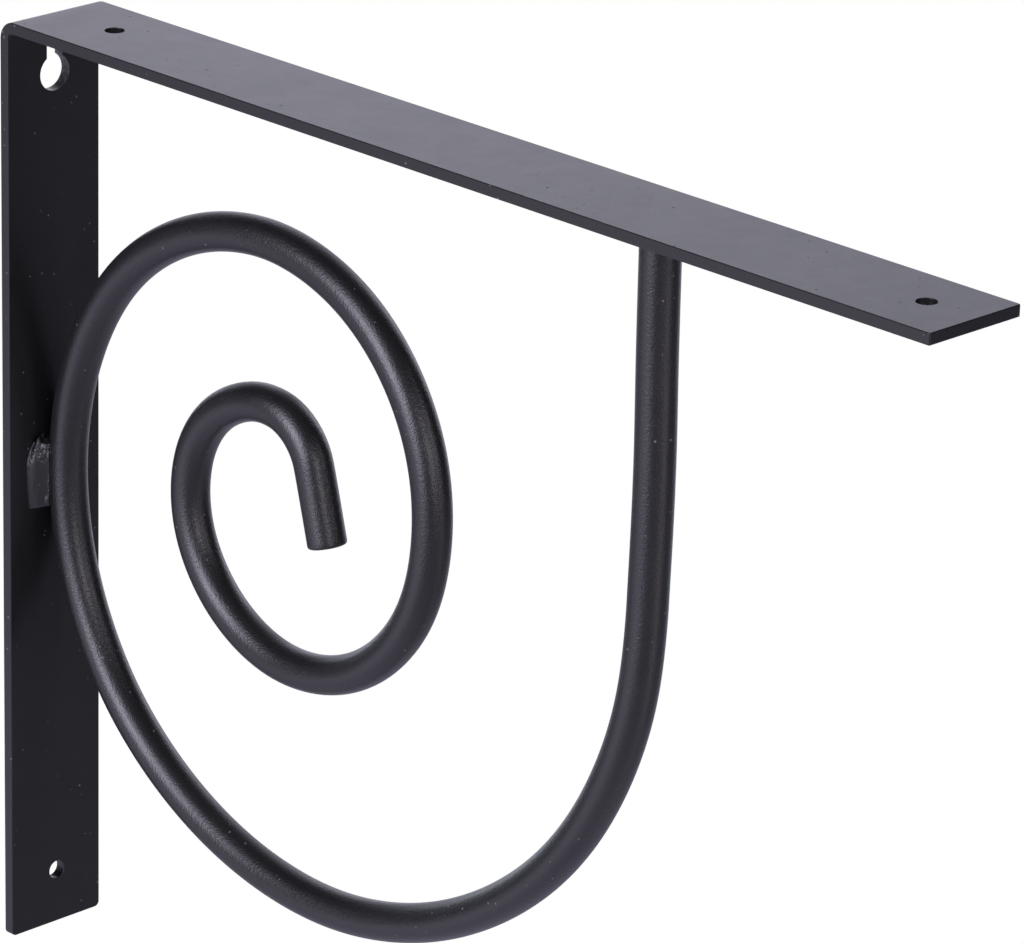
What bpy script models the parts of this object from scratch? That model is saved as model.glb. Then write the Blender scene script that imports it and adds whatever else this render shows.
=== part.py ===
"""Steel shelf bracket: a bent flat bar braced by a round rod that is bent into a scroll.

Frame: the back of the wall arm is the plane X = 0, the shelf arm runs out along +X, Y goes across
the bar and Z is up. The origin lies on the back of the wall arm, halfway down it. Metres throughout.
"""

import math

import bmesh
import bpy
from mathutils import Vector

# Flat bar
STRAP_WIDTH = 0.030
STRAP_THICKNESS = 0.003
WALL_ARM_LENGTH = 0.250
SHELF_ARM_LENGTH = 0.312
BEND_OUTER_RADIUS = 0.005
BEND_INNER_RADIUS = 0.001
END_CORNER_RADIUS = 0.0014
EDGE_ROUNDING = 0.0003

# Screw holes, measured along the bar from the outer faces of the bend
SCREW_HOLE_DIAMETER = 0.0050
SHELF_HOLE_NEAR_BEND = 0.0258
SHELF_HOLE_NEAR_TIP = 0.2972
WALL_HOLE_DROP = 0.2353
KEYHOLE_DIAMETER = 0.0094
KEYHOLE_DROP = 0.0162
KEYHOLE_SLOT_WIDTH = 0.0050
KEYHOLE_SLOT_RISE = 0.0084
HOLES_OFF_MIDDLE = 0.00035  # all the holes were punched this far to one side, towards +Y

# Scroll rod: straight down from the shelf arm, then one arc after another, always turning towards
# the wall, and a short straight tail up to the cut end
ROD_DIAMETER = 0.010
ROD_REACH = 0.216
ROD_STRAIGHT_TO_DROP = 0.095
SCROLL_BENDS = (  # radius of the centre line, degrees turned
    (0.1155, 80.0),
    (0.0990, 55.0),
    (0.0855, 80.0),
    (0.0750, 50.0),
    (0.0605, 35.0),
    (0.0570, 90.0),
    (0.0475, 60.0),
    (0.0395, 60.0),
    (0.0330, 45.0),
    (0.0295, 80.0),
    (0.0150, 70.0),
)
SCROLL_TAIL = 0.0204
SCROLL_STEP_DEGREES = 5.0
ROD_BEVEL_RESOLUTION = 6
ROD_END_ROUNDING = 0.0007

# Welds
WELD_GAP = 0.0003
WALL_WELD_DROP = 0.1235
WALL_WELD_HALF_HEIGHT = 0.0130
WALL_WELD_CUT_DROP = 0.1320
WALL_WELD_TOE = 0.0092
WALL_WELD_PROUD = 0.0036
SHELF_WELD_LEG = 0.0028

# Finish: satin black powder coat
COAT_COLOUR = (0.020, 0.020, 0.022, 1.0)
WELD_COAT_COLOUR = (0.024, 0.024, 0.026, 1.0)
STRAP_ROUGHNESS = 0.48
ROD_ROUGHNESS = 0.40
WELD_ROUGHNESS = 0.55

TOP_Z = WALL_ARM_LENGTH / 2
ROD_RADIUS = ROD_DIAMETER / 2
ARC_SEGMENTS = 8
HOLE_SEGMENTS = 32
MERGE_DISTANCE = 1e-5
FLAT_ANGLE = math.radians(1)
SHARP_ANGLE = math.radians(35)


def clear_scene():
    """Remove whatever the open file holds."""
    for old in list(bpy.data.objects):
        bpy.data.objects.remove(old, do_unlink=True)


def new_collection(name):
    """Make a collection under the scene's own."""
    made = bpy.data.collections.new(name)
    bpy.context.scene.collection.children.link(made)
    return made


def coat_material(name, colour, roughness):
    """Make a powder-coated metal: the coat is a paint, so it is not metallic."""
    material = bpy.data.materials.new(name)
    material.use_nodes = True
    shader = material.node_tree.nodes["Principled BSDF"]
    shader.inputs["Base Color"].default_value = colour
    shader.inputs["Roughness"].default_value = roughness
    shader.inputs["Metallic"].default_value = 0.0
    material.diffuse_color = colour
    return material


def strap_coat():
    """Coat of the flat bar."""
    return coat_material("strap_coat", COAT_COLOUR, STRAP_ROUGHNESS)


def rod_coat():
    """Coat of the round rod, a little glossier than the flat bar."""
    return coat_material("rod_coat", COAT_COLOUR, ROD_ROUGHNESS)


def weld_coat():
    """Coat over the rougher weld metal."""
    return coat_material("weld_coat", WELD_COAT_COLOUR, WELD_ROUGHNESS)


def arc_points(centre, radius, start, end, segments):
    """Points along an arc in a plane, both ends included, with the angles in degrees."""
    points = []
    for step in range(segments + 1):
        angle = math.radians(start + (end - start) * step / segments)
        points.append((centre[0] + radius * math.cos(angle), centre[1] + radius * math.sin(angle)))
    return points


def outline_curve(name, points, half_thickness):
    """A closed flat outline, thickened to both sides of its plane."""
    curve = bpy.data.curves.new(name, "CURVE")
    curve.dimensions = "2D"
    curve.fill_mode = "BOTH"
    curve.extrude = half_thickness
    spline = curve.splines.new("POLY")
    spline.points.add(len(points) - 1)
    for spline_point, (across, up) in zip(spline.points, points):
        spline_point.co = (across, up, 0.0, 1.0)
    spline.use_cyclic_u = True
    made = bpy.data.objects.new(name, curve)
    bpy.context.scene.collection.objects.link(made)
    return made


def curve_to_mesh(curve_object, collection):
    """Turn a curve object into a closed mesh object of the same name and place."""
    bpy.context.view_layer.update()
    evaluated = curve_object.evaluated_get(bpy.context.evaluated_depsgraph_get())
    mesh = bpy.data.meshes.new_from_object(evaluated)
    shape = bmesh.new()
    shape.from_mesh(mesh)
    bmesh.ops.remove_doubles(shape, verts=shape.verts, dist=MERGE_DISTANCE)
    bmesh.ops.dissolve_limit(shape, angle_limit=FLAT_ANGLE, verts=shape.verts, edges=shape.edges)
    bmesh.ops.recalc_face_normals(shape, faces=shape.faces)
    shape.to_mesh(mesh)
    shape.free()
    name = curve_object.name
    place = curve_object.matrix_world.copy()
    bpy.data.objects.remove(curve_object, do_unlink=True)
    made = bpy.data.objects.new(name, mesh)
    made.matrix_world = place
    collection.objects.link(made)
    return made


def shade_round(made):
    """Shade smooth with crisp edges kept."""
    made.data.shade_smooth()
    made.data.set_sharp_from_angle(angle=SHARP_ANGLE)


def cut_with(made, cutter):
    """Take the cutter's shape out of a part."""
    modifier = made.modifiers.new("cut_" + cutter.name, "BOOLEAN")
    modifier.operation = "DIFFERENCE"
    modifier.solver = "EXACT"
    modifier.object = cutter


def as_cutter(made):
    """Show an object as a guide only."""
    made.hide_render = True
    made.display_type = "WIRE"
    return made


def strap_side_outline():
    """Side view of the bent bar: across is X, up is Z."""
    bend_centre = (BEND_OUTER_RADIUS, TOP_Z - BEND_OUTER_RADIUS)
    inner_reach = STRAP_THICKNESS + BEND_INNER_RADIUS
    bottom = TOP_Z - WALL_ARM_LENGTH
    outline = [(STRAP_THICKNESS, bottom), (0.0, bottom)]
    outline += arc_points(bend_centre, BEND_OUTER_RADIUS, 180, 90, ARC_SEGMENTS)
    outline += [(SHELF_ARM_LENGTH, TOP_Z), (SHELF_ARM_LENGTH, TOP_Z - STRAP_THICKNESS)]
    outline += arc_points((inner_reach, TOP_Z - inner_reach), BEND_INNER_RADIUS, 90, 180, ARC_SEGMENTS)
    return outline


def round_lower_corners(made):
    """Round the two corners of the wall arm's lower end, seen from the front."""
    shape = bmesh.new()
    shape.from_mesh(made.data)
    bottom = TOP_Z - WALL_ARM_LENGTH
    corners = []
    for edge in shape.edges:
        ends = [made.matrix_world @ vertex.co for vertex in edge.verts]
        at_bottom = all(abs(end.z - bottom) < MERGE_DISTANCE for end in ends)
        through = abs(ends[0].x - ends[1].x) > STRAP_THICKNESS / 2
        if at_bottom and through:
            corners.append(edge)
    bmesh.ops.bevel(
        shape, geom=corners, offset=END_CORNER_RADIUS, segments=4, profile=0.5, affect="EDGES"
    )
    shape.to_mesh(made.data)
    shape.free()


def keyhole_outline():
    """Front view of the keyhole about the centre of its round part: a head hole and a slot above it."""
    head_radius = KEYHOLE_DIAMETER / 2
    slot_radius = KEYHOLE_SLOT_WIDTH / 2
    shoulder = math.degrees(math.acos(slot_radius / head_radius))
    outline = arc_points((0.0, 0.0), head_radius, 180 - shoulder, 360 + shoulder, HOLE_SEGMENTS)
    outline += arc_points((0.0, KEYHOLE_SLOT_RISE), slot_radius, 0, 180, HOLE_SEGMENTS // 2)
    return outline


def keyhole_cutter(collection):
    """The keyhole through the wall arm."""
    curve_object = outline_curve("keyhole", keyhole_outline(), STRAP_THICKNESS)
    curve_object.location = (STRAP_THICKNESS / 2, HOLES_OFF_MIDDLE, TOP_Z - KEYHOLE_DROP)
    curve_object.rotation_euler = (math.pi / 2, 0.0, math.pi / 2)
    return as_cutter(curve_to_mesh(curve_object, collection))


def screw_hole_cutter(name, location, tilt, collection):
    """A round hole through the bar; tilt turns its axis from Z towards X."""
    mesh = bpy.data.meshes.new(name)
    shape = bmesh.new()
    bmesh.ops.create_cone(
        shape,
        cap_ends=True,
        segments=HOLE_SEGMENTS,
        radius1=SCREW_HOLE_DIAMETER / 2,
        radius2=SCREW_HOLE_DIAMETER / 2,
        depth=2 * STRAP_THICKNESS,
    )
    shape.to_mesh(mesh)
    shape.free()
    made = bpy.data.objects.new(name, mesh)
    made.location = location
    made.rotation_euler = (0.0, tilt, 0.0)
    collection.objects.link(made)
    return as_cutter(made)


def build_strap(parts, cutters):
    """The flat bar: bent outline, rounded lower corners, softened edges, then the punched holes."""
    curve_object = outline_curve("strap", strap_side_outline(), STRAP_WIDTH / 2)
    curve_object.rotation_euler = (math.pi / 2, 0.0, 0.0)
    strap = curve_to_mesh(curve_object, parts)
    round_lower_corners(strap)
    soften = strap.modifiers.new("soft_edges", "BEVEL")
    soften.width = EDGE_ROUNDING
    soften.segments = 1
    soften.limit_method = "ANGLE"
    soften.angle_limit = SHARP_ANGLE
    wall_middle = STRAP_THICKNESS / 2
    shelf_middle = TOP_Z - STRAP_THICKNESS / 2
    cut_with(strap, keyhole_cutter(cutters))
    holes = (
        ("hole_wall", (wall_middle, HOLES_OFF_MIDDLE, TOP_Z - WALL_HOLE_DROP), math.pi / 2),
        ("hole_shelf_bend", (SHELF_HOLE_NEAR_BEND, HOLES_OFF_MIDDLE, shelf_middle), 0.0),
        ("hole_shelf_tip", (SHELF_HOLE_NEAR_TIP, HOLES_OFF_MIDDLE, shelf_middle), 0.0),
    )
    for name, location, tilt in holes:
        cut_with(strap, screw_hole_cutter(name, location, tilt, cutters))
    strap.data.materials.append(strap_coat())
    shade_round(strap)
    return strap


def scroll_points():
    """Centre line of the rod in the plane Y = 0, from under the shelf arm to the free end."""
    heading = math.radians(-90)
    place = Vector((ROD_REACH, 0.0, TOP_Z - STRAP_THICKNESS - WELD_GAP))
    points = [place.copy()]
    place.z = TOP_Z - ROD_STRAIGHT_TO_DROP
    points.append(place.copy())
    for radius, turned in SCROLL_BENDS:
        steps = round(turned / SCROLL_STEP_DEGREES)
        centre = place + radius * Vector((math.sin(heading), 0.0, -math.cos(heading)))
        for _ in range(steps):
            heading -= math.radians(turned / steps)
            place = centre - radius * Vector((math.sin(heading), 0.0, -math.cos(heading)))
            points.append(place.copy())
    points.append(place + SCROLL_TAIL * Vector((math.cos(heading), 0.0, math.sin(heading))))
    return points


def build_scroll_rod(parts):
    """The round rod along its centre line, with the rims of both cut ends rounded over."""
    curve = bpy.data.curves.new("scroll_rod", "CURVE")
    curve.dimensions = "3D"
    curve.bevel_depth = ROD_RADIUS
    curve.bevel_resolution = ROD_BEVEL_RESOLUTION
    curve.use_fill_caps = True
    points = scroll_points()
    spline = curve.splines.new("POLY")
    spline.points.add(len(points) - 1)
    for spline_point, point in zip(spline.points, points):
        spline_point.co = (*point, 1.0)
    rod = curve_to_mesh(bpy.data.objects.new("scroll_rod", curve), parts)
    rims = rod.modifiers.new("rounded_rims", "BEVEL")
    rims.width = ROD_END_ROUNDING
    rims.segments = 2
    rims.limit_method = "ANGLE"
    rims.angle_limit = math.radians(60)
    rod.data.materials.append(rod_coat())
    shade_round(rod)
    return rod


def wall_weld_cutters(collection):
    """What the wall weld is moulded against: the bar's face, the rod's side and a flat lower end."""
    reach = 4 * WALL_WELD_TOE
    bar_mesh = bpy.data.meshes.new("weld_against_bar")
    shape = bmesh.new()
    bmesh.ops.create_cube(shape, size=reach)
    shape.to_mesh(bar_mesh)
    shape.free()
    bar_block = bpy.data.objects.new("weld_against_bar", bar_mesh)
    bar_block.location = (STRAP_THICKNESS + WELD_GAP - reach / 2, 0.0, TOP_Z - WALL_WELD_DROP)
    end_block = bpy.data.objects.new("weld_lower_end", bar_mesh.copy())
    end_block.location = (STRAP_THICKNESS, 0.0, TOP_Z - WALL_WELD_CUT_DROP - reach / 2)
    rod_mesh = bpy.data.meshes.new("weld_against_rod")
    shape = bmesh.new()
    bmesh.ops.create_cone(
        shape,
        cap_ends=True,
        segments=HOLE_SEGMENTS,
        radius1=ROD_RADIUS + WELD_GAP,
        radius2=ROD_RADIUS + WELD_GAP,
        depth=reach,
    )
    shape.to_mesh(rod_mesh)
    shape.free()
    nearest = min(point.x for point in scroll_points())
    rod_block = bpy.data.objects.new("weld_against_rod", rod_mesh)
    rod_block.location = (nearest, 0.0, TOP_Z - WALL_WELD_DROP)
    made = (bar_block, end_block, rod_block)
    for block in made:
        collection.objects.link(block)
        as_cutter(block)
    return made


def build_wall_weld(parts, cutters):
    """The bead on the near side of the rod: a long drop moulded into the corner of bar and rod."""
    mesh = bpy.data.meshes.new("wall_weld")
    shape = bmesh.new()
    bmesh.ops.create_uvsphere(shape, u_segments=24, v_segments=16, radius=1.0)
    middle = WALL_WELD_TOE / 2 + WELD_GAP
    half_width = WALL_WELD_TOE - middle
    bmesh.ops.scale(
        shape, vec=(WALL_WELD_PROUD, half_width, WALL_WELD_HALF_HEIGHT), verts=shape.verts
    )
    shape.to_mesh(mesh)
    shape.free()
    weld = bpy.data.objects.new("wall_weld", mesh)
    weld.location = (STRAP_THICKNESS, -middle, TOP_Z - WALL_WELD_DROP)
    parts.objects.link(weld)
    for block in wall_weld_cutters(cutters):
        cut_with(weld, block)
    weld.data.materials.append(weld_coat())
    shade_round(weld)
    return weld


def build_shelf_weld(parts):
    """The bead round the top of the rod: a fillet section turned about the rod's axis."""
    inner = ROD_RADIUS + WELD_GAP
    top = TOP_Z - STRAP_THICKNESS - WELD_GAP
    leg = SHELF_WELD_LEG
    section = ((inner, 0.0), (inner + leg, 0.0), (inner + 0.6 * leg, -0.6 * leg), (inner, -leg))
    mesh = bpy.data.meshes.new("shelf_weld")
    shape = bmesh.new()
    corners = [shape.verts.new((across, 0.0, up)) for across, up in section]
    for first, second in zip(corners, corners[1:] + corners[:1]):
        shape.edges.new((first, second))
    shape.to_mesh(mesh)
    shape.free()
    weld = bpy.data.objects.new("shelf_weld", mesh)
    weld.location = (ROD_REACH, 0.0, top)
    parts.objects.link(weld)
    turned = weld.modifiers.new("turned_round_the_rod", "SCREW")
    turned.steps = HOLE_SEGMENTS
    turned.render_steps = HOLE_SEGMENTS
    turned.use_merge_vertices = True
    turned.merge_threshold = MERGE_DISTANCE
    weld.data.materials.append(weld_coat())
    return weld


def main():
    """Build the bracket."""
    clear_scene()
    parts = new_collection("shelf_bracket")
    cutters = new_collection("cutters")
    build_strap(parts, cutters)
    build_scroll_rod(parts)
    build_wall_weld(parts, cutters)
    build_shelf_weld(parts)


main()
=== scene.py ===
"""Studio scene of a steel shelf bracket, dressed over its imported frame.

A flat bar is bent into an L, and a round rod, bent into a spiral scroll, braces its two arms. All of
it wears the same satin black powder coat. X runs out from the wall, Y across the bar and Z up, with
the origin on the back of the wall arm, halfway down it. Metres throughout.
"""

import logging
import math
from dataclasses import dataclass
from enum import Enum

import bpy
import numpy as np
from mathutils import Matrix, Vector, noise
from mathutils.geometry import delaunay_2d_cdt

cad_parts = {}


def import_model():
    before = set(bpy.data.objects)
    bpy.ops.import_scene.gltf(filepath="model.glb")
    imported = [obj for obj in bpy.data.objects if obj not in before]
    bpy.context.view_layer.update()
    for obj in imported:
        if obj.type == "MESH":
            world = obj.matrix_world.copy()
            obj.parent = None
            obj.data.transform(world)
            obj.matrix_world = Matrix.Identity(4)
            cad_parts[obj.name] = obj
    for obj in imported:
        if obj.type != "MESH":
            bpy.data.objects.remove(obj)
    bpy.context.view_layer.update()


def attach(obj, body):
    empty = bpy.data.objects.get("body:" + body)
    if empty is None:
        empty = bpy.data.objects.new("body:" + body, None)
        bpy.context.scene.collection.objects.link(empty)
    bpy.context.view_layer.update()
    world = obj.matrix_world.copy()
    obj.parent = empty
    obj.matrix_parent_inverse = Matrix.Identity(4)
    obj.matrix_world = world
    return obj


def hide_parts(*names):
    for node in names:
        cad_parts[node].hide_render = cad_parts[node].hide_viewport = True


LOG = logging.getLogger("shelf_bracket")

MM = 0.001
PHOTO_WIDTH = 1024
BODY = "root"
EDGE_ATTRIBUTE = "sharp_edge"
# Mask of the keyhole's walls, where a lighter grey is painted on as a painted reflection of the
# bright surroundings.
KEYHOLE_SHEEN_ATTRIBUTE = "keyhole_sheen"

NOISE_LAYERS = 3
NOISE_ROUGHNESS = 0.55
WHITE = (1.0, 1.0, 1.0, 1.0)

# A Mix node names its colour sockets like its others, so they go by number.
MIX_BELOW = 6
MIX_ABOVE = 7
MIX_RESULT = 2

Point2 = tuple[float, float]
Point3 = tuple[float, float, float]
Colour = tuple[float, float, float]
Faces = list[tuple[int, ...]]
Line = tuple[int, int]
Triangle = tuple[int, int, int]
Outlines = list[list[Point2]]
Layer = tuple[np.ndarray, np.ndarray, np.ndarray, np.ndarray]
Piece = bpy.types.Object
Socket = bpy.types.NodeSocket
NodeTree = bpy.types.NodeTree


class Slot(Enum):
    """The record's material slots, listed beside each piece; the pieces are dressed from their own
    coats, not from these.
    """

    STRAP = "strap_coat"
    ROD = "rod_coat"
    WELD = "weld_coat"


# Points, faces and meshes


def arc_points(centre: Point2, radius: float, start: float, end: float, steps: int) -> list[Point2]:
    """Lay points along a flat arc, both ends included.

    Args:
        centre: Centre of the arc.
        radius: Radius of the arc.
        start: Angle of the first point, in degrees.
        end: Angle of the last point, in degrees.
        steps: How many equal steps the arc is split into.

    Returns:
        The points in order.
    """
    angles = [math.radians(start + (end - start) * k / steps) for k in range(steps + 1)]
    return [(centre[0] + radius * math.cos(a), centre[1] + radius * math.sin(a)) for a in angles]


def mesh_piece(
    name: str, points: np.ndarray, faces: Faces, normals: np.ndarray | None = None
) -> Piece:
    """Make a smooth-shaded mesh object and link it to the scene.

    Args:
        name: Name of the piece.
        points: One row of X, Y, Z for each point.
        faces: Point numbers of each face, anticlockwise from outside.
        normals: The surface direction at each point, where it is known better than the faces say.

    Returns:
        The new object.
    """
    mesh = bpy.data.meshes.new(name)
    mesh.from_pydata(points.tolist(), [], faces)
    mesh.update()
    mesh.shade_smooth()
    if normals is not None:
        mesh.normals_split_custom_set_from_vertices(normals.tolist())
    piece = bpy.data.objects.new(name, mesh)
    bpy.context.scene.collection.objects.link(piece)
    return piece


def paint_points(piece: Piece, name: str, values: np.ndarray) -> None:
    """Store one number for each point of a mesh, for its material to read.

    Args:
        piece: The mesh object.
        name: Name of the attribute.
        values: One value for each point.
    """
    attribute = piece.data.attributes.new(name, "FLOAT", "POINT")
    attribute.data.foreach_set("value", values.astype(np.float32))


def band(low: int, high: int, around: int) -> Faces:
    """Join two closed rings of points with four-sided faces.

    Args:
        low: Number of the first point of the first ring.
        high: Number of the first point of the ring that follows.
        around: How many points each ring has, clockwise as seen looking along the run.

    Returns:
        The faces.
    """
    besides = [*range(1, around), 0]
    return [(low + k, high + k, high + b, low + b) for k, b in enumerate(besides)]


def ring_faces(rings: int, around: int) -> Faces:
    """Join closed rings of points one after the other, and close both ends with one face each.

    Args:
        rings: How many rings there are.
        around: How many points each ring has, as for a band.

    Returns:
        The faces, with the point numbers running ring by ring.
    """
    faces: Faces = []
    for ring in range(rings - 1):
        faces += band(ring * around, (ring + 1) * around, around)
    faces.append(tuple(range(around)))
    faces.append(tuple(reversed(range((rings - 1) * around, rings * around))))
    return faces


# Shader parts


class Wiring:
    """A small helper that adds nodes to a node tree and links them."""

    def __init__(self, tree: NodeTree) -> None:
        """Keep the node tree that the nodes go into."""
        self.tree = tree

    def add(self, kind: str, **settings: object) -> bpy.types.Node:
        """Add a node.

        Args:
            kind: Blender's name of the node type.
            settings: Attributes of the node to set.

        Returns:
            The new node.
        """
        node = self.tree.nodes.new(kind)
        for name, value in settings.items():
            setattr(node, name, value)
        return node

    def put(self, value: object, socket: Socket) -> None:
        """Link an output socket to an input, or set the input to a plain value.

        Args:
            value: The plain value or the output socket.
            socket: The input.
        """
        if isinstance(value, Socket):
            self.tree.links.new(value, socket)
        else:
            socket.default_value = value

    def feed(self, node: bpy.types.Node, **inputs: object) -> bpy.types.Node:
        """Set or link inputs of a node; an underscore in a name stands for a space.

        Args:
            node: The node to feed.
            inputs: A plain value or an output socket for each named input.

        Returns:
            The same node.
        """
        for name, value in inputs.items():
            self.put(value, node.inputs[name.replace("_", " ")])
        return node

    def math(self, operation: str, *operands: object) -> Socket:
        """Add a Math node.

        Args:
            operation: What it works out.
            operands: A number or an output socket for each of its inputs.

        Returns:
            The result's socket.
        """
        node = self.add("ShaderNodeMath", operation=operation)
        for socket, value in zip(node.inputs, operands):
            self.put(value, socket)
        return node.outputs[0]

    def effect(self, group: NodeTree, **inputs: object) -> Socket:
        """Place a shared effect, fed with a plain value or an output socket for each input."""
        return self.feed(self.add("ShaderNodeGroup", node_tree=group), **inputs).outputs[0]

    def held(self, value: Socket, lowest: float) -> Socket:
        """Keep a value between a lowest one and 1."""
        return self.math("MINIMUM", self.math("MAXIMUM", value, lowest), 1.0)

    def vector(self, operation: str, *operands: object) -> Socket:
        """Add a Vector Math node.

        Args:
            operation: What it works out.
            operands: A vector or an output socket for each of its inputs.

        Returns:
            The result's socket.
        """
        node = self.add("ShaderNodeVectorMath", operation=operation)
        for socket, value in zip(node.inputs, operands):
            self.put(value, socket)
        return node.outputs["Value" if operation == "DOT_PRODUCT" else "Vector"]

    def scaled(self, colour: Colour, amount: Socket) -> Socket:
        """Multiply a fixed colour by a varying amount.

        Args:
            colour: The fixed colour.
            amount: The varying amount.

        Returns:
            The resulting colour's socket.
        """
        result = self.vector("SCALE", colour)
        self.feed(result.node, Scale=amount)
        return result

    def mixed(self, share: Socket, below: Socket, above: Colour) -> Socket:
        """Lay a fixed colour over a varying one where a mask says so.

        Args:
            share: How much of the fixed colour shows, from 0 to 1.
            below: The varying colour.
            above: The fixed colour.

        Returns:
            The resulting colour's socket.
        """
        node = self.add("ShaderNodeMix", data_type="RGBA")
        self.put(share, node.inputs["Factor"])
        self.put(below, node.inputs[MIX_BELOW])
        self.put((*above, 1.0), node.inputs[MIX_ABOVE])
        return node.outputs[MIX_RESULT]


class EffectGroup(Wiring):
    """A shader node group in the making, with number sockets, laid out in the object's own space."""

    def __init__(self, name: str, output: str, **inputs: float) -> None:
        """Start the group.

        Args:
            name: Name of the group.
            output: Name of its one output.
            inputs: What each input starts at; an underscore in a name stands for a space.
        """
        super().__init__(bpy.data.node_groups.new(name, "ShaderNodeTree"))
        sockets = self.tree.interface
        for label, default in inputs.items():
            socket = sockets.new_socket(
                name=label.replace("_", " "), in_out="INPUT", socket_type="NodeSocketFloat"
            )
            socket.default_value = default
        sockets.new_socket(name=output, in_out="OUTPUT", socket_type="NodeSocketFloat")
        self.given = self.add("NodeGroupInput").outputs
        self.place = self.add("ShaderNodeTexCoord").outputs["Object"]

    def noise(self, scale: object, detail: float, place: Socket | None = None) -> Socket:
        """Add a noise texture.

        Args:
            scale: Waves to a metre.
            detail: How many finer layers it has.
            place: Where the noise is read, if not in the object's own space.

        Returns:
            The noise value's socket.
        """
        node = self.add("ShaderNodeTexNoise")
        self.feed(node, Vector=place or self.place, Scale=scale, Detail=detail)
        self.feed(node, Roughness=NOISE_ROUGHNESS)
        return node.outputs["Fac"]

    def put_out(self, value: Socket) -> NodeTree:
        """Link the group's output and hand the finished group over."""
        self.put(value, self.add("NodeGroupOutput").inputs[0])
        return self.tree


class CoatEffects:
    """The shared effects of the powder coat, each a node group built once."""

    def __init__(self) -> None:
        """Build the groups."""
        self.peel = self.build_peel()
        self.specks = self.build_specks()
        self.mottle = self.build_mottle()
        self.sheen_streaks = self.build_sheen_streaks()

    @staticmethod
    def build_peel() -> NodeTree:
        """Build the orange peel of a sprayed and baked powder: soft waves with a fine grain on top.

        Returns:
            The group, which puts out a height from 0 to 1.
        """
        group = EffectGroup(
            "powder_peel", "Height", Wave_Scale=420.0, Grain_Scale=1900.0, Grain_Share=0.5
        )
        share = group.given["Grain Share"]
        wave = group.noise(group.given["Wave Scale"], detail=1.0)
        grain = group.noise(group.given["Grain Scale"], detail=2.0)
        fine = group.math("MULTIPLY", grain, share)
        broad = group.math("MULTIPLY", wave, group.math("SUBTRACT", 1.0, share))
        return group.put_out(group.math("ADD", fine, broad))

    @staticmethod
    def build_specks() -> NodeTree:
        """Build scattered pin specks: small round dots on a share of random cells.

        Returns:
            The group, which puts out a mask that is 1 on a speck.
        """
        smallest, sharpness = 0.5, 14.0
        group = EffectGroup("powder_specks", "Mask", Cell_Scale=600.0, Share=0.12, Size=0.15)
        cells = group.add("ShaderNodeTexVoronoi", feature="F1")
        group.feed(cells, Vector=group.place, Scale=group.given["Cell Scale"], Randomness=1.0)
        drawn = group.add("ShaderNodeTexWhiteNoise")
        group.feed(drawn, Vector=cells.outputs["Color"])
        chance = group.add("ShaderNodeSeparateColor")
        group.feed(chance, Color=drawn.outputs["Color"])
        picked = group.math("LESS_THAN", chance.outputs["Red"], group.given["Share"])
        larger = group.math("ADD", smallest, chance.outputs["Green"])
        reach = group.math("MULTIPLY", group.given["Size"], larger)
        near = group.math("SUBTRACT", reach, cells.outputs["Distance"])
        dot = group.held(group.math("MULTIPLY", near, sharpness), 0.0)
        return group.put_out(group.math("MULTIPLY", dot, picked))

    @staticmethod
    def build_mottle() -> NodeTree:
        """Build the faint uneven tone of the coat, in broad clouds and small blotches.

        Returns:
            The group, which puts out a tone about 1.
        """
        finer = 7.0
        group = EffectGroup("coat_mottle", "Tone", Cloud_Scale=28.0, Amount=0.15)
        scale = group.given["Cloud Scale"]
        clouds = group.noise(scale, detail=3.0)
        blotches = group.noise(group.math("MULTIPLY", scale, finer), detail=2.0)
        centred = group.math("SUBTRACT", group.math("ADD", clouds, blotches), 1.0)
        uneven = group.math("MULTIPLY", centred, group.given["Amount"])
        return group.put_out(group.math("ADD", 1.0, uneven))

    @staticmethod
    def build_sheen_streaks() -> NodeTree:
        """Build the painted reflection on the keyhole's walls: a lighter grey, broken up into
        streaks.

        Returns:
            The group, which puts out a mask that is 1 where the keyhole's wall is painted lighter as
            a reflection.
        """
        contrast, offset, faintest = 2.6, -0.7, 0.2
        group = EffectGroup("keyhole_painted_sheen", "Mask", Streak_Scale=900.0, Stretch=0.7)
        squeezed = group.add("ShaderNodeCombineXYZ")
        group.feed(squeezed, X=group.given["Stretch"], Y=1.0, Z=1.0)
        stretched = group.vector("MULTIPLY", group.place, squeezed.outputs[0])
        streaks = group.noise(group.given["Streak Scale"], detail=3.0, place=stretched)
        kept = group.held(group.math("MULTIPLY_ADD", streaks, contrast, offset), faintest)
        keyhole_wall = group.add("ShaderNodeAttribute", attribute_name=KEYHOLE_SHEEN_ATTRIBUTE)
        return group.put_out(group.math("MULTIPLY", kept, keyhole_wall.outputs["Fac"]))


@dataclass(frozen=True)
class Specks:
    """Pin specks scattered over a coat: raised grains of powder that did not flow, painted lighter
    than the coat as a glint.

    Attributes:
        scale: Cells that may hold a speck, to a metre.
        share: Share of those cells that do.
        size: Size of a speck in its cell.
    """

    scale: float = 600.0
    share: float = 0.12
    size: float = 0.15

    def mask(self, wires: Wiring, effects: CoatEffects, where: Socket | None = None) -> Socket:
        """Add the specks to a material.

        Args:
            wires: Helper of the material's tree.
            effects: The shared effects.
            where: A mask that thins them out, if they are not everywhere.

        Returns:
            The socket of a mask that is 1 on a speck.
        """
        share = wires.math("MULTIPLY", where, self.share) if where else self.share
        return wires.effect(effects.specks, Cell_Scale=self.scale, Share=share, Size=self.size)


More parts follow.
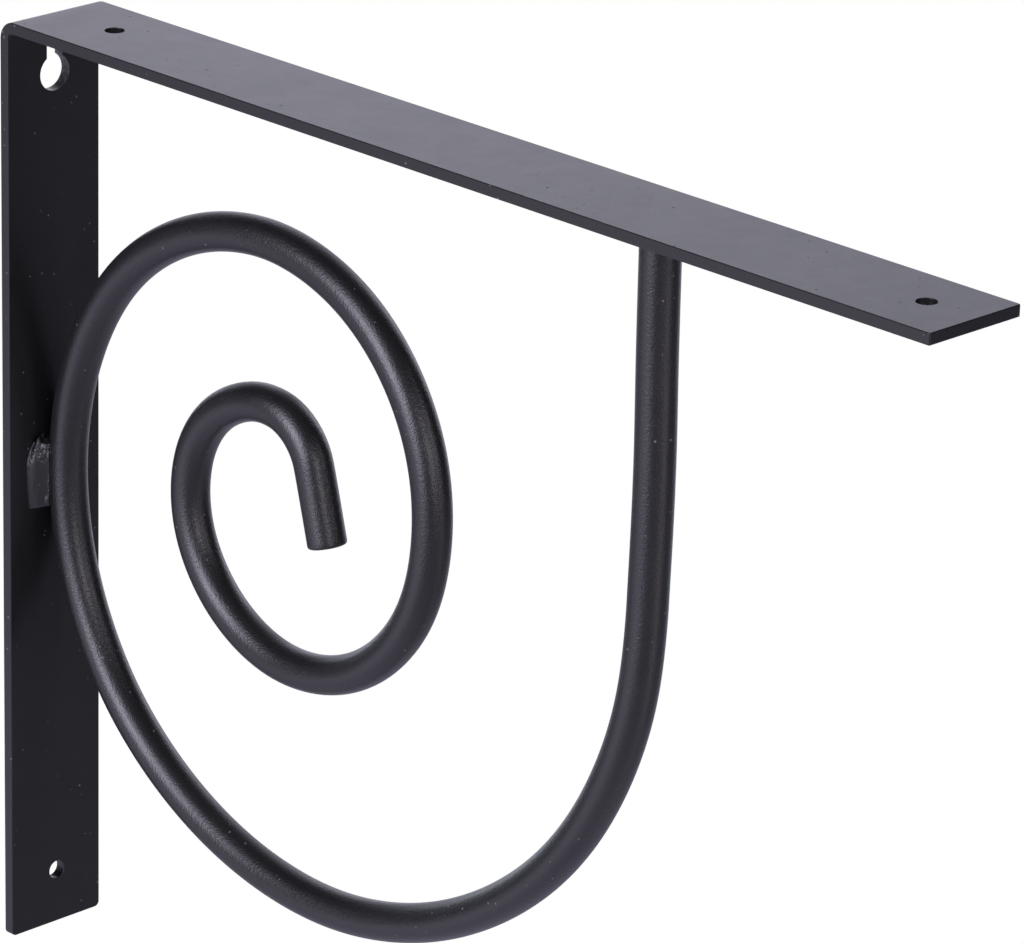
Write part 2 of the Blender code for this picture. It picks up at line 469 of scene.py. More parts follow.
@dataclass(frozen=True)
class PowderCoat:
    """A satin black powder coat, as it lies on one kind of steel.

    Attributes:
        name: Name of the material.
        colour: Colour of the coat.
        roughness: How dull its gloss is.
        wave_scale: Orange-peel waves to a metre.
        grain_scale: Grains to a metre.
        grain_share: How much of the relief is grain.
        relief: Depth of the relief, in metres.
        mottle: How uneven the tone is.
        specks: The specks all over it.
        edge_specks: The closer ones along sharp edges, where the powder drew back.
        speck_glint_colour: Colour of a speck, lighter than the coat: a painted glint on its raised
            grain.
        speck_height: How far a speck stands up, in metres.
        speck_dullness: Roughness of a speck.
        keyhole_sheen_colour: Lighter grey painted on the keyhole's walls, a painted reflection.
    """

    name: str
    colour: Colour
    roughness: float
    wave_scale: float = 420.0
    grain_scale: float = 1900.0
    grain_share: float = 0.5
    relief: float = 0.00003
    mottle: float = 0.2
    specks: Specks = Specks()
    edge_specks: Specks = Specks(1500.0, 0.8, 0.25)
    # Lighter than the coat: a painted glint on each raised speck.
    speck_glint_colour: Colour = (0.10, 0.10, 0.102)
    speck_height: float = 0.00004
    speck_dullness: float = 0.85
    # Lighter grey painted on the keyhole's walls as a painted reflection.
    keyhole_sheen_colour: Colour = (0.085, 0.085, 0.086)

    def material(self, effects: CoatEffects) -> bpy.types.Material:
        """Make the material.

        Args:
            effects: The shared effects.

        Returns:
            The material, ready to assign.
        """
        made = bpy.data.materials.new(self.name)
        made.use_nodes = True
        wires = Wiring(made.node_tree)
        shader = made.node_tree.nodes["Principled BSDF"]
        wires.feed(shader, Metallic=0.0, IOR=1.5)

        tone = wires.effect(effects.mottle, Amount=self.mottle)
        edge = wires.add("ShaderNodeAttribute", attribute_name=EDGE_ATTRIBUTE).outputs["Fac"]
        sparse = self.specks.mask(wires, effects)
        dense = self.edge_specks.mask(wires, effects, edge)
        specks = wires.math("MAXIMUM", sparse, dense)
        peel = wires.effect(
            effects.peel,
            Wave_Scale=self.wave_scale,
            Grain_Scale=self.grain_scale,
            Grain_Share=self.grain_share,
        )

        # Painted reflection: the keyhole's walls are turned a lighter grey, in streaks.
        keyhole_sheen = wires.effect(effects.sheen_streaks)
        coat_with_sheen = wires.mixed(keyhole_sheen, wires.scaled(self.colour, tone), self.keyhole_sheen_colour)
        # The specks are painted a lighter grey, a painted glint; their rise in the bump below is
        # real relief.
        wires.feed(shader, Base_Color=wires.mixed(specks, coat_with_sheen, self.speck_glint_colour))

        duller = wires.add("ShaderNodeMix", data_type="FLOAT")
        dull = wires.math("MULTIPLY", tone, self.roughness)
        wires.feed(duller, Factor=specks, A=dull, B=self.speck_dullness)
        wires.feed(shader, Roughness=duller.outputs[0])
        pimples = wires.math("MULTIPLY", specks, self.speck_height / self.relief)
        bump = wires.add("ShaderNodeBump")
        height = wires.math("ADD", peel, pimples)
        wires.feed(bump, Strength=1.0, Distance=self.relief, Height=height)
        wires.feed(shader, Normal=bump.outputs["Normal"])
        return made


# The bracket


@dataclass(frozen=True)
class SteelPiece:
    """A piece of the bracket, with the powder coat that it wears."""

    coat: PowderCoat

    def dress(self, piece: Piece, effects: CoatEffects) -> None:
        """Coat the piece."""
        piece.data.materials.append(self.coat.material(effects))


@dataclass(frozen=True)
class BarBend:
    """How the flat bar runs: up the wall arm, round the bend and out along the shelf arm.

    A spot on the unrolled bar has its distance along the bar from the lower end, its place across
    the bar, and its depth from the outer face, which lies on the wall and under the shelf.
    """

    thickness: float = 3.0 * MM
    wall_length: float = 250.0 * MM
    shelf_length: float = 312.0 * MM
    outer_radius: float = 5.0 * MM
    inner_radius: float = 1.0 * MM
    top: float = 125.0 * MM

    @property
    def bend_start(self) -> float:
        """Distance along the bar where the bend starts."""
        return self.wall_length - self.outer_radius

    @property
    def middle_radius(self) -> float:
        """Radius of the middle of the bar's thickness in the bend."""
        return self.outer_radius - self.thickness / 2

    @property
    def bend_end(self) -> float:
        """Distance along the bar where the bend ends."""
        return self.bend_start + self.middle_radius * math.pi / 2

    @property
    def length(self) -> float:
        """Length of the unrolled bar."""
        return self.bend_end + self.shelf_length - self.outer_radius

    def turn(self, along: np.ndarray) -> np.ndarray:
        """How far the bar has turned at each distance along it, in radians."""
        return np.clip((along - self.bend_start) / self.middle_radius, 0.0, math.pi / 2)

    def places(self, along: np.ndarray, across: np.ndarray, depth: np.ndarray) -> np.ndarray:
        """Find where spots on the unrolled bar lie on the bent one, which is sharper inside.

        Args:
            along: Distance of each spot along the bar.
            across: Place of each spot across the bar.
            depth: Depth of each spot from the outer face.

        Returns:
            One row of X, Y, Z for each spot.
        """
        angle = self.turn(along)
        on_wall = along <= self.bend_start
        on_shelf = along >= self.bend_end
        tighter = (self.outer_radius - self.inner_radius) / self.thickness
        radius = self.outer_radius - tighter * depth
        x = np.where(
            on_shelf,
            self.outer_radius + along - self.bend_end,
            depth + radius * (1 - np.cos(angle)),
        )
        z = np.where(
            on_wall,
            self.top - self.outer_radius + along - self.bend_start,
            self.top - depth - radius * (1 - np.sin(angle)),
        )
        return np.stack([x, across, z], axis=1)

    def directions(self, along: np.ndarray, flat: np.ndarray) -> np.ndarray:
        """Turn directions on the unrolled bar into the bracket's own.

        Args:
            along: Distance of each spot along the bar.
            flat: For each spot, the parts of its direction along, across and into the bar.

        Returns:
            One row of X, Y, Z for each spot.
        """
        angle = self.turn(along)
        sine, cosine = np.sin(angle), np.cos(angle)
        x = flat[:, 0] * sine + flat[:, 2] * cosine
        z = flat[:, 0] * cosine - flat[:, 2] * sine
        return np.stack([x, flat[:, 1], z], axis=1)


@dataclass(frozen=True)
class FlatBar(SteelPiece):
    """The flat bar with its bend, soft edges, keyhole and screw holes."""

    coat: PowderCoat = PowderCoat("flat_bar_coat", (0.007, 0.007, 0.0075), 0.30)
    bend: BarBend = BarBend()
    width: float = 30.0 * MM
    lower_corner: float = 1.4 * MM
    tip_corner: float = 0.5 * MM
    edge_radius: float = 0.25 * MM
    hole_edge_radius: float = 0.14 * MM
    edge_steps: int = 5
    corner_steps: int = 8
    hole_steps: int = 64
    bend_steps: int = 24
    grid: float = 4.0 * MM
    across_rows: int = 7
    clear_of_holes: float = 0.8 * MM
    same_point: float = 1e-9
    screw_hole: float = 5.0 * MM
    wall_hole_drop: float = 235.3 * MM
    shelf_hole_near_bend: float = 25.8 * MM
    shelf_hole_near_tip: float = 297.2 * MM
    keyhole_head: float = 9.4 * MM
    keyhole_drop: float = 16.2 * MM
    keyhole_slot: float = 5.0 * MM
    keyhole_rise: float = 8.4 * MM
    holes_off_middle: float = 0.35 * MM

    def stations(self) -> list[float]:
        """Find the distances along the bar at which its long edges have points.

        Returns:
            The distances, corners left out.
        """
        bend = self.bend
        wall_steps = round(bend.bend_start / self.grid)
        shelf_steps = round((bend.length - bend.bend_end) / self.grid)
        wall = np.linspace(self.lower_corner, bend.bend_start, wall_steps + 1)[1:-1]
        shares = (np.arange(self.bend_steps) + 0.5) / self.bend_steps
        turn = bend.bend_start + shares * (bend.bend_end - bend.bend_start)
        shelf = np.linspace(bend.bend_end, bend.length - self.tip_corner, shelf_steps + 1)[1:-1]
        return [*wall, *turn, *shelf]

    def end_rows(self) -> list[float]:
        """Places across the bar at which its two cut ends have points, corners left out."""
        half = self.width / 2
        return list(np.linspace(-half, half, self.across_rows + 2)[1:-1])

    def edge_outline(self, inset: float) -> list[Point2]:
        """Walk round the unrolled bar, anticlockwise.

        Args:
            inset: Distance inside the bar's edge.

        Returns:
            The points in order.
        """
        half, length = self.width / 2, self.bend.length
        lower, tip = self.lower_corner, self.tip_corner
        steps = self.corner_steps
        walk = [(along, -half + inset) for along in self.stations()]
        walk += arc_points((length - tip, -half + tip), tip - inset, -90, 0, steps)
        walk += [(length - inset, row) for row in self.end_rows()]
        walk += arc_points((length - tip, half - tip), tip - inset, 0, 90, steps)
        walk += [(along, half - inset) for along in reversed(self.stations())]
        walk += arc_points((lower, half - lower), lower - inset, 90, 180, steps)
        walk += [(inset, row) for row in reversed(self.end_rows())]
        walk += arc_points((lower, -half + lower), lower - inset, 180, 270, steps)
        return walk

    def round_hole(self, along: float, inset: float) -> list[Point2]:
        """Walk clockwise round a screw hole, at a distance outside its edge."""
        radius = self.screw_hole / 2 + inset
        return arc_points((along, self.holes_off_middle), radius, 360, 0, self.hole_steps)[:-1]

    def keyhole(self, along: float, inset: float) -> list[Point2]:
        """Walk clockwise round the keyhole, at a distance outside its edge.

        Args:
            along: Distance of the head hole's centre along the bar.
            inset: Distance outside the keyhole's edge.

        Returns:
            The points in order.
        """
        head, slot = self.keyhole_head / 2 + inset, self.keyhole_slot / 2 + inset
        shoulder = math.degrees(math.asin(slot / head))
        middle = (along, self.holes_off_middle)
        slot_end = (along + self.keyhole_rise, self.holes_off_middle)
        walk = arc_points(middle, head, -shoulder, shoulder - 360, self.hole_steps)
        return walk + arc_points(slot_end, slot, 90, -90, self.hole_steps // 2)

    def outlines(self, share: float) -> Outlines:
        """All the outlines, the bar's edge first, then the holes.

        Args:
            share: 0 for the outlines themselves, 1 for where the flat ends and the rounding begins.

        Returns:
            The outlines.
        """
        bend = self.bend
        beyond_bend = bend.bend_end - bend.outer_radius
        inset = share * self.hole_edge_radius
        return [
            self.edge_outline(share * self.edge_radius),
            self.keyhole(bend.wall_length - self.keyhole_drop, inset),
            self.round_hole(bend.wall_length - self.wall_hole_drop, inset),
            self.round_hole(beyond_bend + self.shelf_hole_near_bend, inset),
            self.round_hole(beyond_bend + self.shelf_hole_near_tip, inset),
        ]

    def hole_spans(self, holes: Outlines) -> list[Point3]:
        """Find how far each hole keeps the flat's own points off it.

        Args:
            holes: The outlines of the holes.

        Returns:
            For each hole the start and end of its span along the bar, and its reach across it.
        """
        clear = self.clear_of_holes
        spans = []
        for hole in holes:
            alongs = [point[0] for point in hole]
            reach = max(point[1] for point in hole) + clear
            spans.append((min(alongs) - clear, max(alongs) + clear, reach))
        return spans

    def inner_points(self, border: int, holes: Outlines) -> tuple[list[Point2], list[Line]]:
        """Lay points over the flat, clear of the holes, joined by lines across the bend.

        Args:
            border: How many points all the outlines have.
            holes: The outlines of the holes.

        Returns:
            The points, and the lines as pairs of point numbers that count on from the outlines.
        """
        spans = self.hole_spans(holes)
        inner: list[Point2] = []
        lines: list[Line] = []
        rows = self.end_rows()
        for number, along in enumerate(self.stations()):
            crossing = self.bend.bend_start < along < self.bend.bend_end
            before = number
            for row in rows:
                blocked = any(low < along < high and abs(row) < reach for low, high, reach in spans)
                if blocked and not crossing:
                    continue
                inner.append((along, row))
                if crossing:
                    here = border + len(inner) - 1
                    lines.append((before, here))
                    before = here
            if crossing:
                lines.append((before, self.far_edge_number(number)))
        return inner, lines

    def face_plan(self, loops: Outlines) -> tuple[list[Point2], list[Triangle]]:
        """Fill the flat between the outlines with even triangles.

        Args:
            loops: The outlines where the flat ends and the rounded edges begin.

        Returns:
            The inner points that are added after the loops' own, and the triangles.
        """
        spots = [Vector(point) for loop in loops for point in loop]
        lines: list[Line] = []
        first = 0
        for loop in loops:
            count = len(loop)
            lines += [(first + k, first + (k + 1) % count) for k in range(count)]
            first += count
        inner, crossings = self.inner_points(len(spots), loops[1:])
        lines += crossings
        spots += [Vector(point) for point in inner]
        placed, _, faces, origins, _, _ = delaunay_2d_cdt(spots, lines, [], 0, self.same_point)
        if len(placed) != len(spots):
            raise ValueError(f"the bar's face has {len(placed)} points, not {len(spots)}")
        back = [origin[0] for origin in origins]
        kept = []
        for face in faces:
            a, b, c = (back[k] for k in face)
            middle = (spots[a] + spots[b] + spots[c]) / 3
            if not any(self.inside(middle, loop) for loop in loops[1:]):
                kept.append((a, b, c))
        return inner, kept

    def far_edge_number(self, station: int) -> int:
        """Find the point straight across the bar from a point of its first long edge.

        Args:
            station: Number of the station that both stand at.

        Returns:
            The number of the point on the other long edge.
        """
        count = len(self.stations())
        corner = 2 * (self.corner_steps + 1) + self.across_rows
        return count + corner + (count - 1 - station)

    @staticmethod
    def inside(spot: Vector, loop: list[Point2]) -> bool:
        """Tell whether a spot lies inside a closed outline.

        Args:
            spot: The spot on the flat.
            loop: The outline.

        Returns:
            True where it lies inside.
        """
        crossed = False
        for (ax, ay), (bx, by) in zip(loop, loop[1:] + loop[:1]):
            if (ay > spot.y) != (by > spot.y):
                if spot.x < (bx - ax) * (spot.y - ay) / (by - ay) + ax:
                    crossed = not crossed
        return crossed

    def rim_rings(self, edge_loops: Outlines, flat_loops: Outlines) -> list[Layer]:
        """Lay the rings of the rounded rims, from the outer face over the edge to the inner face.

        Args:
            edge_loops: The outlines of the edge and the holes.
            flat_loops: The outlines where the flat ends and the rounding begins.

        Returns:
            For each ring its spots on the unrolled bar, the surface's directions there, how close
            they are to a sharp edge, and how strongly the keyhole's painted reflection shows there.
        """
        edge = np.array([point for loop in edge_loops for point in loop])
        flat = np.array([point for loop in flat_loops for point in loop])
        outward = (edge - flat) / np.linalg.norm(edge - flat, axis=1)[:, None]
        keyhole_first = len(edge_loops[0])
        keyhole_last = keyhole_first + len(edge_loops[1])
        rounding = np.full(len(edge), self.hole_edge_radius)
        rounding[:keyhole_first] = self.edge_radius
        # Marks the keyhole's walls, where the painted reflection goes.
        on_keyhole = np.zeros(len(edge))
        on_keyhole[keyhole_first:keyhole_last] = 1.0

        rings = []
        quarter = [math.pi / 2 * step / self.edge_steps for step in range(self.edge_steps + 1)]
        for angle in quarter + [math.pi - angle for angle in reversed(quarter)]:
            sine, cosine = math.sin(angle), math.cos(angle)
            depth = rounding * (1 - abs(cosine))
            if len(rings) > self.edge_steps:
                depth = self.bend.thickness - depth
            spots = np.column_stack([flat + (edge - flat) * sine, depth])
            ways = np.column_stack([outward * sine, np.full(len(edge), -cosine)])
            sharp = np.full(len(edge), math.sin(2 * angle) ** 2)
            rings.append((spots, ways, sharp, on_keyhole * sine**2))
        return rings

    def flat_layers(self, inner: list[Point2]) -> list[Layer]:
        """Lay the inner points of the outer face and then those of the inner face.

        Args:
            inner: The inner points of one face.

        Returns:
            The same for each face as for a ring of the rims.
        """
        count = len(inner)
        plain = np.zeros(count)
        layers = []
        for depth, way in ((0.0, -1.0), (self.bend.thickness, 1.0)):
            spots = np.column_stack([np.array(inner), np.full(count, depth)])
            ways = np.column_stack([np.zeros((count, 2)), np.full(count, way)])
            layers.append((spots, ways, plain, plain))
        return layers

    @staticmethod
    def skin(loops: Outlines, rings: int, inner: int, triangles: list[Triangle]) -> Faces:
        """Join the rims' rings round each outline, and fill both faces with triangles.

        Args:
            loops: The outlines.
            rings: How many rings the rims have.
            inner: How many inner points each face has.
            triangles: The triangles of one face.

        Returns:
            The faces, with the rings' points numbered first, then those of the two faces.
        """
        border = sum(len(loop) for loop in loops)
        faces: Faces = []
        start = 0
        for loop in loops:
            for ring in range(rings - 1):
                faces += band(ring * border + start, (ring + 1) * border + start, len(loop))
            start += len(loop)
        last_ring, first_inner = (rings - 1) * border, rings * border
        for corners in triangles:
            outer = [c if c < border else first_inner + c - border for c in corners]
            under = [
                last_ring + c if c < border else first_inner + inner + c - border for c in corners
            ]
            faces += [tuple(outer), tuple(reversed(under))]
        return faces

    def build(self) -> Piece:
        """Build the bent bar as one closed mesh.

        Returns:
            The bar.
        """
        edge_loops, flat_loops = self.outlines(0.0), self.outlines(1.0)
        inner, triangles = self.face_plan(flat_loops)
        rings = self.rim_rings(edge_loops, flat_loops)
        layers = rings + self.flat_layers(inner)
        unrolled, ways, sharp, keyhole_sheen = (np.concatenate(part) for part in zip(*layers))
        along, across, depth = unrolled.T
        points = self.bend.places(along, across, depth)
        faces = self.skin(edge_loops, len(rings), len(inner), triangles)
        piece = mesh_piece("flat_bar", points, faces, self.bend.directions(along, ways))
        paint_points(piece, EDGE_ATTRIBUTE, sharp)
        # The keyhole's walls carry the mask for their painted reflection.
        paint_points(piece, KEYHOLE_SHEEN_ATTRIBUTE, keyhole_sheen)
        return piece


@dataclass(frozen=True)
class PressMark:
    """A spot where the bender's press left the rod a little off its curve.

    Attributes:
        along: Distance along the rod from its top.
        push: How far off it is, to the left of the rod's run, which is the outside of the scroll.
        reach: Distance along the rod in which that fades to a third.
    """

    along: float
    push: float
    reach: float


PRESS_MARKS = tuple(
    PressMark(along * MM, push * MM, reach * MM)
    for along, push, reach in (
        (57, 0.39, 21),
        (100, -0.55, 17),
        (171, 0.37, 29),
        (239, 0.18, 35),
        (287, -0.12, 19),
        (348, 0.35, 26),
        (473, 0.38, 30),
        (553, -0.17, 15),
        (609, 0.10, 16),
        (653, 0.37, 14),
        (727, -0.19, 17),
        (812, 0.27, 7),
        (828, -0.26, 8),
    )
)


@dataclass(frozen=True)
class ScrollPath:
    """The rod's centre line: straight down, then arcs that all turn towards the wall, and a tail.

    Each bend is the radius of the centre line and how many degrees it turns.
    """

    reach: float = 216.0 * MM
    top: float = 122.0 * MM
    straight_to: float = 30.0 * MM
    tail: float = 20.4 * MM
    spacing: float = 2.0 * MM
    bends: tuple[Point2, ...] = (
        (115.5 * MM, 80.0),
        (99.0 * MM, 55.0),
        (85.5 * MM, 80.0),
        (75.0 * MM, 50.0),
        (60.5 * MM, 35.0),
        (57.0 * MM, 90.0),
        (47.5 * MM, 60.0),
        (39.5 * MM, 60.0),
        (33.0 * MM, 45.0),
        (29.5 * MM, 80.0),
        (15.0 * MM, 70.0),
    )
    marks: tuple[PressMark, ...] = PRESS_MARKS

    def walk(self) -> tuple[np.ndarray, np.ndarray]:
        """Walk along the centre line, with the press marks in it.

        Returns:
            One row of X, Z for each stop, and the heading there, in radians from X towards Z.
        """
        places, headings = self.even_walk()
        steps = np.linalg.norm(np.diff(places, axis=0), axis=1)
        along = np.concatenate([[0.0], np.cumsum(steps)])
        off = np.zeros(len(along))
        slope = np.zeros(len(along))
        for mark in self.marks:
            away = (along - mark.along) / mark.reach
            bump = mark.push * np.exp(-(away**2))
            off += bump
            slope += bump * -2 * away / mark.reach
        left = np.stack([-np.sin(headings), np.cos(headings)], axis=1)
        return places + left * off[:, None], headings + slope

    def even_walk(self) -> tuple[np.ndarray, np.ndarray]:
        """Walk along the even arcs that the rod was meant to follow.

        Returns:
            One row of X, Z for each stop, and the heading there, in radians from X towards Z.
        """
        heading, x = -math.pi / 2, self.reach
        places: list[Point2] = [(x, self.top)]
        headings = [heading]
        self.go_straight(self.top - self.straight_to, places, headings)
        z = self.straight_to
        for radius, turned in self.bends:
            steps = math.ceil(radius * math.radians(turned) / self.spacing)
            centre_x = x + radius * math.sin(heading)
            centre_z = z - radius * math.cos(heading)
            for _ in range(steps):
                heading -= math.radians(turned) / steps
                x = centre_x - radius * math.sin(heading)
                z = centre_z + radius * math.cos(heading)
                places.append((x, z))
                headings.append(heading)
        self.go_straight(self.tail, places, headings)
        return np.array(places), np.array(headings)

    def go_straight(self, length: float, places: list[Point2], headings: list[float]) -> None:
        """Add the stops of a straight run to a walk.

        Args:
            length: Length of the run.
            places: X and Z of the stops so far.
            headings: The headings there.
        """
        (x, z), heading = places[-1], headings[-1]
        steps = round(length / self.spacing)
        for step in range(1, steps + 1):
            reach = length * step / steps
            places.append((x + reach * math.cos(heading), z + reach * math.sin(heading)))
            headings.append(heading)

    def nearest_to_wall(self) -> Point2:
        """Find where the centre line comes nearest to the wall arm.

        Returns:
            X and Z of that place.
        """
        places, _ = self.walk()
        place = places[int(np.argmin(places[:, 0]))]
        return float(place[0]), float(place[1])


@dataclass(frozen=True)
class ScrollRod(SteelPiece):
    """The round rod that is bent into the scroll."""

    coat: PowderCoat = PowderCoat(
        "scroll_coat",
        (0.009, 0.009, 0.0095),
        0.34,
        wave_scale=1300.0,
        grain_scale=2600.0,
        grain_share=0.4,
        relief=0.00011,
    )
    path: ScrollPath = ScrollPath()
    radius: float = 5.0 * MM
    rim_radius: float = 0.8 * MM
    around: int = 56
    rim_steps: int = 6
    end_rings: Point2 = (0.7, 0.35)
    sharp_angle: float = 60.0

    def build(self) -> Piece:
        """Build the rod as one closed tube with rounded rims.

        Returns:
            The rod.
        """
        places, headings = self.path.walk()
        stops = [(place, heading, self.radius) for place, heading in zip(places, headings)]
        place, heading = places[-1], headings[-1]
        ahead = np.array([math.cos(heading), math.sin(heading)])
        rim_start = place - ahead * self.rim_radius
        stops[-1] = (rim_start, heading, self.radius)
        for step in range(1, self.rim_steps + 1):
            angle = math.pi / 2 * step / self.rim_steps
            spot = rim_start + ahead * self.rim_radius * math.sin(angle)
            stops.append((spot, heading, self.radius - self.rim_radius * (1 - math.cos(angle))))
        for share in self.end_rings:
            stops.append((place, heading, (self.radius - self.rim_radius) * share))
        angles = np.arange(self.around) / self.around * 2 * math.pi
        points = []
        for spot, heading, radius in stops:
            side, across = np.cos(angles) * radius, np.sin(angles) * radius
            x, z = spot[0] - math.sin(heading) * side, spot[1] + math.cos(heading) * side
            points.append(np.stack([x, across, z], axis=1))
        faces = ring_faces(len(stops), self.around)
        piece = mesh_piece("scroll_bar", np.concatenate(points), faces)
        piece.data.set_sharp_from_angle(angle=math.radians(self.sharp_angle))
        return piece


def swelling(place: float, middle: float, reach: float) -> float:
    """How high a round swelling of height 1 is at a place: a third at its reach from its middle."""
    return math.exp(-(((place - middle) / reach) ** 2))


def ramp(value: float, start: float, span: float) -> float:
    """Rise evenly from 0 at a start to 1 a span beyond it."""
    return max(0.0, min(1.0, (value - start) / span))


def layered_noise(spot: Vector, fading: float, finer: float = 2.0) -> float:
    """Noise in layers, each finer and weaker than the one before."""
    return noise.fractal(spot, fading, finer, NOISE_LAYERS)


@dataclass(frozen=True)
class WallBead(SteelPiece):
    """The weld bead in the corner of wall arm and rod, on the near side only.

    It is a smooth, slightly bulging band that was laid upwards. Its lower end was cut flat and
    slants a little, and its upper end broke off ragged, with spatter on it. A place on it is given
    by its share of the height, from the lower end at 0 to the upper at 1, and by its part of the
    width, from the bar's toe at 0 to the rod's at 1. An onset is the share of the height over
    which something sets in. Waves are counted to a metre.
    """

    coat: PowderCoat = PowderCoat(
        "bead_coat",
        (0.007, 0.007, 0.0075),
        0.40,
        wave_scale=1100.0,
        relief=0.00004,
        specks=Specks(share=0.3),
    )
    path: ScrollPath = ScrollPath()
    bar_face: float = 3.0 * MM
    rod_radius: float = 5.0 * MM
    lower_end: float = -6.3 * MM
    lower_slant: float = 1.4 * MM
    upper_end: float = 12.2 * MM
    toe: float = 9.6 * MM
    root: float = 2.6 * MM
    sunk: float = 0.25 * MM
    rod_toe_angle: float = 259.0
    rod_root_angle: float = 205.0
    widest_share: float = 0.6
    widest: float = 0.98
    lower_narrowing: float = 0.10
    upper_narrowing: float = 0.42
    bulge: float = 0.75 * MM
    bulge_power: float = 0.8
    rounding_share: float = 0.95
    end_fullness: float = 0.35
    crest: float = 1.7 * MM
    crest_part: float = 0.3
    crest_reach: float = 0.09
    raggedness: float = 0.5 * MM
    ragged_waves: float = 9.0
    ragged_seed: Point2 = (3.7, 1.1)
    wave: float = 0.10 * MM
    waves_across: float = 420.0
    waves_up: float = 110.0
    wave_fading: float = 0.8
    spatter: float = 0.19 * MM
    spatter_waves: float = 1150.0
    spatter_fading: float = 0.6
    spatter_finer: float = 2.1
    spatter_share: float = 0.66
    spatter_onset: float = 0.12
    bar_side_part: float = 0.3
    bar_side_share: float = 0.5
    bar_side_onset: float = 0.2
    bar_side_spatter: float = 0.4
    knob: float = 0.5 * MM
    knob_place: Point2 = (0.84, 0.1)
    knob_reach: Point2 = (0.08, 0.07)
    lip: float = 0.30 * MM
    lip_part: float = 0.9
    lip_reach: float = 0.035
    lip_even: float = 0.6
    lip_uneven: float = 0.8
    smooth_rim: float = 0.1
    rows: int = 110
    face_steps: int = 44
    back_steps: int = 8
    sharp_angle: float = 70.0

    def width_at(self, share: float) -> float:
        """Find how wide the bead is at one height.

        Args:
            share: The share of its height.

        Returns:
            The width, from 0 to 1.
        """
        if share < self.widest_share:
            return self.widest - self.lower_narrowing * (1 - share / self.widest_share) ** 2
        beyond = (share - self.widest_share) / (1 - self.widest_share)
        return self.widest - self.upper_narrowing * beyond**2

    def fullness_at(self, share: float) -> float:
        """How far the bead stands out of its corner, from 0 to 1: it rounds off at the top."""
        away = ramp(share, self.rounding_share, 1 - self.rounding_share)
        return math.sqrt(max(self.end_fullness, 1.0 - away**2))

    def height_at(self, share: float, part: float) -> float:
        """Find how high a place on the bead lies.

        Args:
            share: Its share of the height.
            part: Its part of the width.

        Returns:
            Z of the place.
        """
        low = self.lower_end + self.lower_slant * part
        ragged = noise.noise(Vector((part * self.ragged_waves, *self.ragged_seed)))
        peak = swelling(part, self.crest_part, self.crest_reach)
        high = self.upper_end + self.crest * peak + self.raggedness * ragged
        return low + (high - low) * share

    def skin_at(self, spot: Vector, share: float, part: float) -> float:
        """How far the bead's rough skin stands off its smooth shape.

        Args:
            spot: The place on the smooth shape.
            share: Its share of the height.
            part: Its part of the width.

        Returns:
            The distance outwards.
        """
        across, up = self.waves_across, self.waves_up
        drawn = Vector((spot.x * across, spot.y * across, spot.z * up))
        waves = layered_noise(drawn, self.wave_fading)
        drops = layered_noise(spot * self.spatter_waves, self.spatter_fading, self.spatter_finer)
        upper = ramp(share, self.spatter_share, self.spatter_onset)
        beside = max(0.0, 1.0 - (part / self.bar_side_part) ** 2)
        beside *= self.bar_side_spatter * ramp(share, self.bar_side_share, self.bar_side_onset)
        rough = self.wave * waves + self.spatter * max(upper, beside) * drops
        knob = swelling(part, self.knob_place[0], self.knob_reach[0])
        knob *= swelling(share, self.knob_place[1], self.knob_reach[1])
        lip = swelling(part, self.lip_part, self.lip_reach)
        lip *= self.lip_even + self.lip_uneven * drops
        return rough + self.knob * knob + self.lip * lip

    def build(self) -> Piece:
        """Build the bead as one closed mesh.

        Returns:
            The bead.
        """
        centre_x, _ = self.path.nearest_to_wall()
        rings = [self.ring(row / self.rows, centre_x) for row in range(self.rows + 1)]
        faces = ring_faces(self.rows + 1, len(rings[0]))
        piece = mesh_piece("wall_bead", np.array(rings).reshape(-1, 3), faces)
        piece.data.set_sharp_from_angle(angle=math.radians(self.sharp_angle))
        return piece

    def ring(self, share: float, centre_x: float) -> list[Point3]:
        """Lay the bead's closed outline at one height.

        Args:
            share: The share of the bead's height.
            centre_x: X of the rod's centre line beside the bead.

        Returns:
            The points, over the face from toe to toe and back inside the rod and the bar.
        """
        wide, full = self.width_at(share), self.fullness_at(share)
        toe = Vector((self.bar_face, -self.root - (self.toe - self.root) * wide * full))
        turned = self.rod_root_angle + (self.rod_toe_angle - self.rod_root_angle) * full
        angle = math.radians(turned)
        rod_toe = Vector(
            (centre_x + self.rod_radius * math.cos(angle), self.rod_radius * math.sin(angle))
        )
        chord = rod_toe - toe
        out = Vector((chord.y, -chord.x)).normalized()
        ring = []
        for step in range(self.face_steps + 1):
            part = step / self.face_steps
            hump = math.sin(math.pi * part) ** self.bulge_power
            flat = toe + chord * part + out * (self.bulge * hump * wide * full)
            z = self.height_at(share, part)
            skin = self.skin_at(Vector((flat.x, flat.y, z)), share, part)
            flat += out * (skin * min(1.0, min(part, 1 - part) / self.smooth_rim))
            ring.append((flat.x, flat.y, z))
        buried = self.rod_radius - self.sunk
        rod_z = self.height_at(share, 1.0)
        for step in range(1, self.back_steps + 1):
            inward = angle + (math.pi - angle) * step / self.back_steps
            ring.append((centre_x + buried * math.cos(inward), buried * math.sin(inward), rod_z))
        end_y = ring[-1][1]
        bar_z = self.height_at(share, 0.0)
        for step in range(1, self.back_steps + 1):
            part = step / (self.back_steps + 1)
            z = rod_z + (bar_z - rod_z) * part
            ring.append((self.bar_face - self.sunk, end_y + (toe.y - end_y) * part, z))
        return ring


